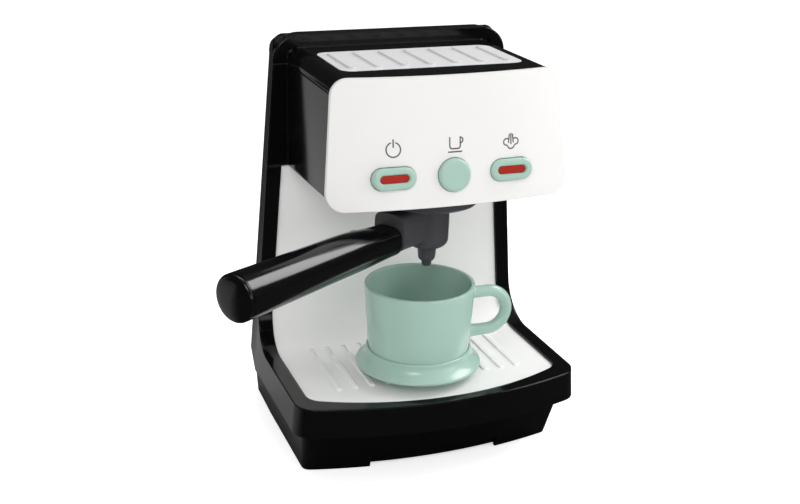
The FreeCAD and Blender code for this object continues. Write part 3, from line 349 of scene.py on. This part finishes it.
def grain_normal(tree, coordinates, grain, bevel):
    """A fine moulding grain over edges that are softened by the bevel radius."""
    fine = tree.nodes.new("ShaderNodeTexNoise")
    fine.inputs["Scale"].default_value = GRAIN_SCALE
    tree.links.new(coordinates, fine.inputs["Vector"])
    bump = tree.nodes.new("ShaderNodeBump")
    bump.inputs["Strength"].default_value = grain
    bump.inputs["Distance"].default_value = GRAIN_DEPTH
    tree.links.new(fine.outputs["Fac"], bump.inputs["Height"])
    if bevel > 0:
        edge = tree.nodes.new("ShaderNodeBevel")
        edge.samples = BEVEL_SAMPLES
        edge.inputs["Radius"].default_value = bevel
        tree.links.new(edge.outputs["Normal"], bump.inputs["Normal"])
    return bump.outputs["Normal"]


def material(name, colour, roughness, specular=0.5, bevel=0.0, grain=0.0, mottling=0.0,
             emission=(0.0, 0.0, 0.0), emission_strength=0.0, metallic=0.0):
    """Moulded plastic: faintly mottled colour, varied roughness, fine grain and softened edges."""
    mat = bpy.data.materials.new(name)
    mat.use_nodes = True
    tree = mat.node_tree
    shader = tree.nodes["Principled BSDF"]
    constant_inputs(shader, {
        "Specular IOR Level": specular,
        "Metallic": metallic,
        "Emission Color": list(emission) + [1],
        "Emission Strength": emission_strength,
    })
    coordinates = tree.nodes.new("ShaderNodeTexCoord").outputs["Object"]
    cloud = tree.nodes.new("ShaderNodeTexNoise")
    cloud.inputs["Scale"].default_value = MOTTLING_SCALE
    cloud.inputs["Detail"].default_value = 3.0
    tree.links.new(coordinates, cloud.inputs["Vector"])
    tree.links.new(colour_mottling(tree, cloud, colour, mottling), shader.inputs["Base Color"])
    tree.links.new(roughness_spread(tree, cloud, roughness), shader.inputs["Roughness"])
    tree.links.new(grain_normal(tree, coordinates, grain, bevel), shader.inputs["Normal"])
    return mat


BLACK = (0.0025, 0.0025, 0.003)

BLACK_GLOSS = material("black_gloss_moulding", BLACK, 0.12, specular=0.36, bevel=1.7 * MM, grain=0.03)
BLACK_HANDLE = material("black_gloss_handle", BLACK, 0.14, grain=0.03)
BLACK_MATT = material("black_matt_moulding", (0.012, 0.012, 0.012), 0.5, grain=0.3)
WHITE_GLOSS = material("white_moulding", (0.80, 0.79, 0.775), 0.30, specular=0.4,
                       bevel=0.9 * MM, grain=0.05, mottling=0.004)
# Painted light: the tray is the same white plastic as the panels, painted lighter to lift the shade that
# the head and cup cast on the deck.
TRAY_WHITE_PAINTED_LIGHTER = material("white_tray_painted_lighter", (0.90, 0.895, 0.88), 0.30, specular=0.4,
                      bevel=0.8 * MM, grain=0.05, mottling=0.004)
# Painted shade: the grille is the same white plastic as the panels, painted darker to take back the strong
# light on its upward face.
GRILLE_WHITE_PAINTED_DARKER = material("white_grille_painted_shade", (0.66, 0.66, 0.665), 0.36, specular=0.4,
                        bevel=0.8 * MM, grain=0.05)
MINT = material("mint_moulding", (0.37, 0.54, 0.465), 0.20, specular=0.6,
                bevel=1.0 * MM, grain=0.06, mottling=0.012)
GREY = material("dark_grey_moulding", (0.055, 0.055, 0.06), 0.34, specular=0.45,
                bevel=0.5 * MM, grain=0.08, mottling=0.03)
RED_LENS = material("red_lens", (0.33, 0.017, 0.012), 0.16,
                    emission=(1.0, 0.10, 0.04), emission_strength=0.05)
RUBBER = material("return_rubber", (0.4, 0.4, 0.38), 0.6, grain=0.3)
BOARD = material("circuit_board_green", (0.02, 0.14, 0.05), 0.35, grain=0.1, mottling=0.1)
PART_BLACK = material("component_black", (0.02, 0.02, 0.02), 0.45, grain=0.2)
LAMP = material("lamp_resin", (0.7, 0.12, 0.08), 0.15,
                emission=(1.0, 0.2, 0.1), emission_strength=0.3)
STEEL = material("zinc_steel", (0.62, 0.62, 0.60), 0.32, metallic=1.0, grain=0.1)
CELL = material("cell_sleeve", (0.06, 0.06, 0.07), 0.3, mottling=0.1)
PRINT_GREY = material("printed_grey", (0.10, 0.10, 0.105), 0.5)

FINISHES = {
    "black_gloss": BLACK_GLOSS,
    "black_matt": BLACK_MATT,
    "white_gloss": WHITE_GLOSS,
    "mint_satin": MINT,
    "grey_satin": GREY,
    "red_lens": RED_LENS,
    "rubber": RUBBER,
    "board": BOARD,
    "switch_black": PART_BLACK,
    "lamp_clear": LAMP,
    "steel": STEEL,
    "cell_jacket": CELL,
}

# The drip panel gets a white painted lighter and the grille a white painted darker: painted light and
# painted shade on the one white plastic.
NODE_FINISHES = {
    "drip_panel": TRAY_WHITE_PAINTED_LIGHTER,
    "top_grille": GRILLE_WHITE_PAINTED_DARKER,
}



def dress_nodes():
    """Gives every carried-over node the finish of its record slot, except the drip panel and grille, whose
    whites carry painted light and painted shade.
    """
    for part in frame["record"]["subparts"]:
        mesh = frame["nodes"][part["node"]].data
        mesh.materials.clear()
        mesh.materials.append(NODE_FINISHES.get(part["node"], FINISHES[part["material_slot"]]))


def finish(piece, mat, body):
    """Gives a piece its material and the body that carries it."""
    piece.data.materials.append(mat)
    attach(piece, body)


# Printed signs

def print_line(name, path, surface_y=panel_y, width=LINE_WIDTH, closed=False):
    """A printed line on the housing."""
    piece = printed_line(name, path, surface_y, width, closed)
    finish(piece, PRINT_GREY, "housing")


def power_sign():
    """A ring open at the top with a stroke through the gap."""
    print_line("power_sign_ring", arc((POWER_X, SYMBOL_Z), 4.4 * MM, 108, 432, 60))
    stroke = line((POWER_X, SYMBOL_Z + 1.2 * MM), (POWER_X, SYMBOL_Z + 6.2 * MM))
    print_line("power_sign_stroke", stroke)


def cup_sign():
    """A small cup outline with an ear, on a ground line."""
    half = 3.4 * MM
    corner = 1.6 * MM
    left, right = CUP_SIGN_X - half, CUP_SIGN_X + half
    low, top = SYMBOL_Z - 1.5 * MM, SYMBOL_Z + 5.6 * MM
    bowl = chain(
        line((left, top), (left, low + corner)),
        arc((left + corner, low + corner), corner, 180, 270, 10),
        line((left + corner, low), (right - corner, low)),
        arc((right - corner, low + corner), corner, -90, 0, 10),
        line((right, low + corner), (right, top)),
    )
    print_line("cup_sign_bowl", bowl)
    print_line("cup_sign_ear", arc((right, top - 2.1 * MM), 1.7 * MM, 80, -80, 20))
    ground_half = 4.6 * MM
    ground_z = low - 1.9 * MM
    ground = line((CUP_SIGN_X - ground_half, ground_z), (CUP_SIGN_X + ground_half, ground_z))
    print_line("cup_sign_ground", ground)


def steam_sign():
    """A puff of three lobes with three strokes that rise from its middle."""
    x, z = STEAM_X, SYMBOL_Z
    print_line("steam_sign_lobe_left", arc((x - 3.1 * MM, z - 0.3 * MM), 2.0 * MM, 50, 285, 24))
    print_line("steam_sign_lobe_right", arc((x + 3.1 * MM, z - 0.3 * MM), 2.0 * MM, 130, -105, 24))
    print_line("steam_sign_lobe_middle", arc((x, z - 2.1 * MM), 2.5 * MM, 190, 350, 20))
    for i, side in enumerate((-1, 0, 1)):
        low_end = (x + side * 1.7 * MM, z - (2.0 - 0.8 * abs(side)) * MM)
        high_end = (x + side * 1.1 * MM, z + (4.9 - 0.5 * abs(side)) * MM)
        print_line("steam_sign_stroke_%d" % i, line(low_end, high_end))


def splash_y(x, z):
    """Depth of the splash back where the beans are printed."""
    return np.full_like(x, SPLASH_Y)


def bean_print():
    """Thin outlines of coffee beans: an ellipse each, with one turn of a sine as its crease."""
    around = np.linspace(0, 2 * math.pi, 48, endpoint=False)
    along = np.linspace(-0.95, 0.95, 24)
    oval = np.stack([np.cos(around), BEAN_PLUMPNESS * np.sin(around)], axis=1)
    crease = np.stack([along, BEAN_CREASE_SWING * np.sin(math.pi * along)], axis=1)
    for i, (x, z, degrees) in enumerate(BEAN_PLACES):
        turn = math.radians(degrees)
        spin = np.array([[math.cos(turn), math.sin(turn)], [-math.sin(turn), math.cos(turn)]])
        place = np.array([x, z]) * MM
        for kind, path, closed in (("outline", oval, True), ("crease", crease, False)):
            print_line("bean_%s_%d" % (kind, i), BEAN_HALF_LENGTH * path @ spin + place, splash_y,
                       BEAN_LINE_WIDTH, closed)


# Cup and saucer

def cup_bowl_profile():
    """Outside from the axis to the rim, round the rim, and back down the inside."""
    return profile_of(
        (0, 70.6), (30.4, 70.6), (31.2, 69.9),
        bend((31.6, 69.85), (33.3, 69.85), (33.5, 71.8)),
        (34.4, 85), (35.4, 100), (36.1, 112),
        bend((36.4, 116.2), (36.4, 117.6), (35.1, 117.6)),
        bend((34.9, 117.6), (33.8, 117.5), (33.7, 116.2)),
        (33.4, 112), (32.7, 100), (31.7, 85),
        bend((31.0, 78.5), (30.6, 72.9), (25.0, 72.9), 12), (0, 72.9))


def ear_rings():
    """The ear's oval section along a straight run, a half circle and a straight run.

    It flares by 1 + flare * exp(-distance from the bowl / flare length).
    """
    steps = 22
    rise = (EAR_TOP_Z - EAR_BOTTOM_Z) / 2
    middle = (EAR_TOP_Z + EAR_BOTTOM_Z) / 2
    bend_x = EAR_REACH - rise
    run = np.linspace(EAR_START, bend_x, steps)
    turn = np.linspace(90, -90, 41)[1:-1]
    lean = np.radians(np.concatenate([np.full(steps, 90.0), turn, np.full(steps, -90.0)]))
    turn = np.radians(turn)
    x = np.concatenate([run, bend_x + rise * np.cos(turn), run[::-1]])
    z = np.concatenate([
        np.full(steps, EAR_TOP_Z), middle + rise * np.sin(turn), np.full(steps, EAR_BOTTOM_Z)])
    flare = 1 + EAR_FLARE * np.exp(-np.maximum(0, x - EAR_FLARE_START) / EAR_FLARE_LENGTH)
    around = np.linspace(0, 2 * math.pi, 28, endpoint=False)
    out = EAR_HALF_THICKNESS * flare[:, None] * np.cos(around)
    across = EAR_HALF_WIDTH * flare[:, None] * np.sin(around)
    return np.stack([
        CUP_AXIS[0] + x[:, None] + out * np.cos(lean)[:, None],
        CUP_AXIS[1] + across,
        z[:, None] + out * np.sin(lean)[:, None],
    ], axis=2)


def make_cup():
    """The cup's bowl and its ear."""
    bowl = turned_piece("cup_bowl", cup_bowl_profile(), CUP_AXIS, 160)
    finish(bowl, MINT, "cup")
    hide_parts("cup")
    finish(tube_piece("cup_ear", ear_rings()), MINT, "cup")


def make_saucer():
    """A thin brim that flares from a short neck, open underneath, with a foot ring."""
    profile = profile_of(
        (0, 69.6), (33.5, 69.6), (33.6, 72.4),
        bend((33.7, 72.9), (34.0, 73.1), (34.6, 73.0), 4),
        bend((35.0, 72.8), (35.2, 72.6), (35.2, 72.0), 4),
        bend((35.3, 70.2), (35.7, 67.2), (40.6, 63.6), 12),
        bend((41.0, 63.4), (41.9, 62.7), (41.6, 61.9), 6),
        bend((41.4, 61.4), (40.8, 61.3), (40.0, 61.8), 5),
        bend((38.0, 63.2), (34.4, 65.6), (33.2, 67.4), 8),
        (26.0, 67.4), (26.0, 54.4), (23.6, 54.4), (23.6, 67.4), (0, 67.4))
    saucer = turned_piece("saucer_brim", profile, CUP_AXIS, 160)
    finish(saucer, MINT, "saucer")
    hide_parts("saucer")


# Filter holder and handle

def along_handle(reach, across, z):
    """Points given along, across and above the handle's line, about the brew axis."""
    ux, uy = math.cos(HANDLE_ANGLE), math.sin(HANDLE_ANGLE)
    x = BREW_AXIS[0] + reach * ux - across * uy
    y = BREW_AXIS[1] + reach * uy + across * ux
    return np.stack([x, y, z], axis=-1)


def between(low, high, share):
    """The value that lies a share of the way from low to high."""
    return low * (1 - share) + high * share


def superellipse(half_width, half_height, power):
    """Points of |x / half width| ** power + |z / half height| ** power = 1, evenly turned."""
    angle = np.linspace(0, 2 * math.pi, 72, endpoint=False)
    c, s = np.cos(angle), np.sin(angle)
    radius = (np.abs(c / half_width) ** power + np.abs(s / half_height) ** power) ** (-1 / power)
    return radius * c, radius * s


def grip_section(reach):
    """The grip's cross-section at one reach, from the neck's block to the round barrel.

    The share of roundness is a smoothstep of the reach, and the neck's top is cut to a flat pad.
    """
    share = float(np.clip((reach - NECK_START) / ROUNDING_LENGTH, 0, 1))
    share = share * share * (3 - 2 * share)
    far = (reach - NECK_START) / (GRIP_END - NECK_START)
    barrel = GRIP_ROOT_RADIUS + (GRIP_END_RADIUS - GRIP_ROOT_RADIUS) * far
    inset = max(0.0, 1 - (reach - NECK_START) / NECK_EDGE)
    shrink = NECK_EDGE_DEPTH * (1 - math.sqrt(1 - inset ** 2))
    x, z = superellipse(between(NECK_HALF_WIDTH, barrel, share) - shrink,
                        between(NECK_HALF_HEIGHT, barrel, share) - shrink,
                        between(NECK_POWER, 2.0, share))
    z = z + between(NECK_MIDDLE_Z, HANDLE_Z, share)
    if reach < NECK_END:
        z = np.minimum(z, NECK_PAD_Z)
    return along_handle(np.full_like(x, reach), x, z)


def make_grip():
    """A loft from a flat-topped, rounded neck to a round barrel."""
    reaches = np.concatenate([
        NECK_START + np.array([0, 0.15, 0.5, 1.1, 2.0]) * MM,
        np.linspace(NECK_START + 4 * MM, NECK_END - 0.8 * MM, 8),
        np.linspace(NECK_END - 0.5 * MM, NECK_END + 0.5 * MM, 5),
        np.linspace(NECK_END + 2 * MM, GRIP_END - 1 * MM, 34),
        [GRIP_END]])
    grip = tube_piece("handle_grip_loft", np.array([grip_section(reach) for reach in reaches]))
    finish(grip, BLACK_HANDLE, "filter_holder")
    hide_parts("handle_grip")


def make_end_cap():
    """The grip's end plug: a ring groove, a rounded edge and a low dome about the handle's line.

    Its profile is given as (reach, radius).
    """
    profile = profile_of(
        (172.0, 12.0), (172.0, 13.6), (172.5, 13.6), (172.5, 14.1),
        bend((172.7, 14.2), (174.6, 14.1), (174.9, 12.4), 8),
        bend((175.0, 12.0), (176.4, 8.0), (176.5, 0.0), 14))
    angle = np.linspace(0, 2 * math.pi, 96, endpoint=False)
    reach, radius = profile[:, :1], profile[:, 1:]
    rings = along_handle(np.repeat(reach, len(angle), axis=1), radius * np.cos(angle),
                         HANDLE_Z + radius * np.sin(angle))
    cap = tube_piece("handle_end_plug", rings)
    finish(cap, BLACK_HANDLE, "filter_holder")
    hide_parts("handle_end_cap")


def make_holder():
    """The holder: a drawn-in cup with a rounded foot and a flange on top."""
    profile = profile_of(
        (0, 143.0), (7.0, 143.0), bend((9.5, 143.2), (13.4, 144.6), (13.7, 148.6), 10),
        (14.0, 160.0), (14.0, 178.2), (18.5, 178.2), (18.5, 181.1), (12.0, 181.1),
        (12.0, 168.0), (0, 168.0))
    body = turned_piece("holder_cup", profile, BREW_AXIS, 128)
    finish(body, GREY, "filter_holder")
    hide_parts("filter_holder")


def arm_section(reach):
    """The arm's cross-section at one reach; it widens and its underside rises towards the handle."""
    share = float(np.clip((reach - ARM_SPREAD_START) / (NECK_START - ARM_SPREAD_START), 0, 1))
    low = ARM_LOW_Z + ARM_LOW_RISE * share
    half_width = ARM_HALF_WIDTH + ARM_SPREAD * share ** 1.6
    x, z = superellipse(half_width, (ARM_HIGH_Z - low) / 2, ARM_POWER)
    return along_handle(np.full_like(x, reach), x, z + (ARM_HIGH_Z + low) / 2)


def make_arm():
    """The holder's arm, from inside the cup to the handle."""
    reaches = np.linspace(ARM_START, NECK_START, 26)
    arm = tube_piece("holder_arm", np.array([arm_section(reach) for reach in reaches]))
    finish(arm, GREY, "filter_holder")


def make_nozzle():
    """The stepped spout: a drawn-in sleeve with a rounded shoulder, and a short round tip."""
    profile = profile_of(
        (1.6, 131.0), bend((1.7, 129.3), (2.9, 129.2), (3.1, 130.4), 6), (3.5, 132.9),
        bend((3.7, 133.1), (5.4, 133.4), (5.7, 136.0), 8),
        (6.3, 142.6), (6.3, 143.6), (1.6, 143.6), (1.6, 131.0))
    nozzle = turned_piece("spout_sleeve", profile, BREW_AXIS, 96)
    finish(nozzle, GREY, "filter_holder")
    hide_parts("spout_nozzle")


# Drip tray

def rib_rings(x):
    """One rib as rings across its length: a raised mound with round ends.

    The mound's height is height * sqrt(1 - offset ** 4), with the offset as a share of the half width.
    Near an end, width and height shrink as a quarter circle: sqrt(1 - (1 - reach) ** 2).
    """
    along = np.linspace(0, 1, 60)
    side = np.linspace(-1, 1, 15)
    y = RIB_FRONT_Y + (RIB_REAR_Y - RIB_FRONT_Y) * (1 - np.cos(math.pi * along)) / 2
    reach = np.clip(np.minimum(y - RIB_FRONT_Y, RIB_REAR_Y - y) / RIB_HALF_WIDTH, 0, 1)
    taper = np.sqrt(1 - (1 - reach) ** 2)
    height = RIB_HEIGHT * taper[:, None] * np.sqrt(np.clip(1 - side ** 4, 0, 1))[None, :]
    across = x + (RIB_HALF_WIDTH * taper + 1e-6)[:, None] * side[None, :]
    depth = np.repeat(y[:, None], len(side), axis=1)
    top = np.stack([across, depth, TRAY_Z + height], axis=2)
    base = np.stack([across[:, ::-1], depth, np.full_like(across, TRAY_Z - RIB_ROOT)], axis=2)
    return np.concatenate([top, base], axis=1)


def make_ribs():
    """The row of raised drip ribs on the tray."""
    for i in range(RIB_COUNT):
        rib = tube_piece("drip_rib_%02d" % i, rib_rings((i - (RIB_COUNT - 1) / 2) * RIB_PITCH))
        finish(rib, TRAY_WHITE_PAINTED_LIGHTER, "housing")


# Studio

def make_camera():
    """The photograph's camera, turned about its target and rolled about its own axis."""
    level = math.cos(CAMERA_ELEVATION)
    away = np.array([
        level * math.sin(CAMERA_AZIMUTH),
        -level * math.cos(CAMERA_AZIMUTH),
        math.sin(CAMERA_ELEVATION)])
    position = CAMERA_TARGET + CAMERA_DISTANCE * away
    right = np.array([math.cos(CAMERA_AZIMUTH), math.sin(CAMERA_AZIMUTH), 0.0])
    up = np.cross(away, right)
    rolled_right = math.cos(CAMERA_ROLL) * right + math.sin(CAMERA_ROLL) * up
    rolled_up = -math.sin(CAMERA_ROLL) * right + math.cos(CAMERA_ROLL) * up
    data = bpy.data.cameras.new("photo_camera")
    data.sensor_width = SENSOR_WIDTH
    data.lens = CAMERA_FOCAL_PX * SENSOR_WIDTH / IMAGE_WIDTH
    data.clip_start = 0.01
    data.clip_end = 50
    camera = bpy.data.objects.new("photo_camera", data)
    camera.matrix_world = Matrix([
        [rolled_right[k], rolled_up[k], away[k], position[k]] for k in range(3)] + [[0, 0, 0, 1]])
    scene.collection.objects.link(camera)
    scene.camera = camera


def area_light(name, place, target, width, height, power):
    """A rectangular lamp that faces its target."""
    data = bpy.data.lights.new(name, "AREA")
    data.shape = "RECTANGLE"
    data.size = width
    data.size_y = height
    data.energy = power
    lamp = bpy.data.objects.new(name, data)
    lamp.location = place
    lamp.rotation_euler = (Vector(target) - Vector(place)).to_track_quat("-Z", "Y").to_euler()
    scene.collection.objects.link(lamp)


def ramp_along(tree, coordinate, low, high, start, end):
    """A smooth change from low to high while one coordinate runs from start to end."""
    node = tree.nodes.new("ShaderNodeMapRange")
    node.interpolation_type = "SMOOTHSTEP"
    node.inputs["From Min"].default_value = start
    node.inputs["From Max"].default_value = end
    node.inputs["To Min"].default_value = low
    node.inputs["To Max"].default_value = high
    tree.links.new(coordinate, node.inputs["Value"])
    return node.outputs["Result"]


def blend_values(tree, share, low, high):
    """A value of low where the share is 0 and high where it is 1; each is a number or a socket."""
    node = tree.nodes.new("ShaderNodeMix")
    tree.links.new(share, node.inputs["Factor"])
    for value, slot in ((low, "A"), (high, "B")):
        if isinstance(value, float):
            node.inputs[slot].default_value = value
        else:
            tree.links.new(value, node.inputs[slot])
    return node.outputs["Result"]


def make_world():
    """White to the camera, and in gloss a dark studio with a paler ceiling."""
    world = bpy.data.worlds.new("studio_world")
    world.use_nodes = True
    scene.world = world
    tree = world.node_tree
    background = tree.nodes["Background"]
    background.inputs["Color"].default_value = (1, 1, 1, 1)
    path = tree.nodes.new("ShaderNodeLightPath")
    place = tree.nodes.new("ShaderNodeTexCoord")
    axes = tree.nodes.new("ShaderNodeSeparateXYZ")
    tree.links.new(place.outputs["Generated"], axes.inputs["Vector"])
    room = ramp_along(tree, axes.outputs["Z"], ROOM_LEVEL, CEILING_LEVEL, CEILING_START, CEILING_FULL)
    level = blend_values(tree, path.outputs["Is Glossy Ray"], WORLD_LEVEL, room)
    level = blend_values(tree, path.outputs["Is Transmission Ray"], level, 1.0)
    level = blend_values(tree, path.outputs["Is Camera Ray"], level, 1.0)
    tree.links.new(level, background.inputs["Strength"])


def make_floor():
    """A white floor that takes the object's shadow; in gloss it is dark, with a pale card on the left."""
    corners = np.array([[-1, -1], [1, -1], [1, 1], [-1, 1]]) * FLOOR_HALF_SIZE
    points = np.column_stack([corners, np.full(4, -FLOOR_DROP)])
    floor = new_object("floor", points, np.array([[0, 1, 2, 3]]))
    mat = bpy.data.materials.new("floor_white")
    mat.use_nodes = True
    tree = mat.node_tree
    shader = tree.nodes["Principled BSDF"]
    constant_inputs(shader, {
        "Roughness": 0.9,
        "Specular IOR Level": 0.1,
        "Emission Color": (1, 1, 1, 1),
    })
    path = tree.nodes.new("ShaderNodeLightPath")
    place = tree.nodes.new("ShaderNodeTexCoord")
    axes = tree.nodes.new("ShaderNodeSeparateXYZ")
    tree.links.new(place.outputs["Object"], axes.inputs["Vector"])
    card = ramp_along(tree, axes.outputs["X"], CARD_LEVEL, ROOM_LEVEL,
                      CARD_EDGE_X - CARD_SOFTNESS_X, CARD_EDGE_X + CARD_SOFTNESS_X)
    behind = ramp_along(tree, axes.outputs["Y"], 0.0, 1.0,
                        CARD_EDGE_Y - CARD_SOFTNESS_Y, CARD_EDGE_Y + CARD_SOFTNESS_Y)
    gloss = blend_values(tree, behind, ROOM_LEVEL, card)
    albedo = blend_values(tree, path.outputs["Is Glossy Ray"], FLOOR_LEVEL, gloss)
    tree.links.new(albedo, shader.inputs["Base Color"])
    glow = tree.nodes.new("ShaderNodeMath")
    glow.operation = "MULTIPLY"
    glow.inputs[1].default_value = FLOOR_GLOW
    tree.links.new(path.outputs["Is Camera Ray"], glow.inputs[0])
    tree.links.new(glow.outputs[0], shader.inputs["Emission Strength"])
    floor.data.materials.append(mat)


scene.view_settings.view_transform = "Standard"
make_camera()
make_world()
make_floor()
area_light("key_softbox", (-0.55, -1.0, 0.95), (0, 0, 0.12), 0.5, 0.5, 4.1)
area_light("fill_softbox", (0.95, -0.75, 0.55), (0, 0, 0.12), 0.4, 0.8, 2.2)
area_light("low_front_softbox", (0.1, -1.2, 0.35), (0, 0, 0.1), 0.9, 0.3, 1.2)
area_light("top_softbox", (0.0, 0.1, 1.1), (0, 0, 0.1), 0.9, 0.3, 2.0)
area_light("right_softbox", (0.86, -0.03, 0.88), (-0.08, -0.06, 0.14), 0.55, 0.55, 7.0)

dress_nodes()
make_cup()
make_saucer()
make_grip()
make_end_cap()
make_holder()
make_arm()
make_nozzle()
make_ribs()
power_sign()
cup_sign()
steam_sign()
bean_print()
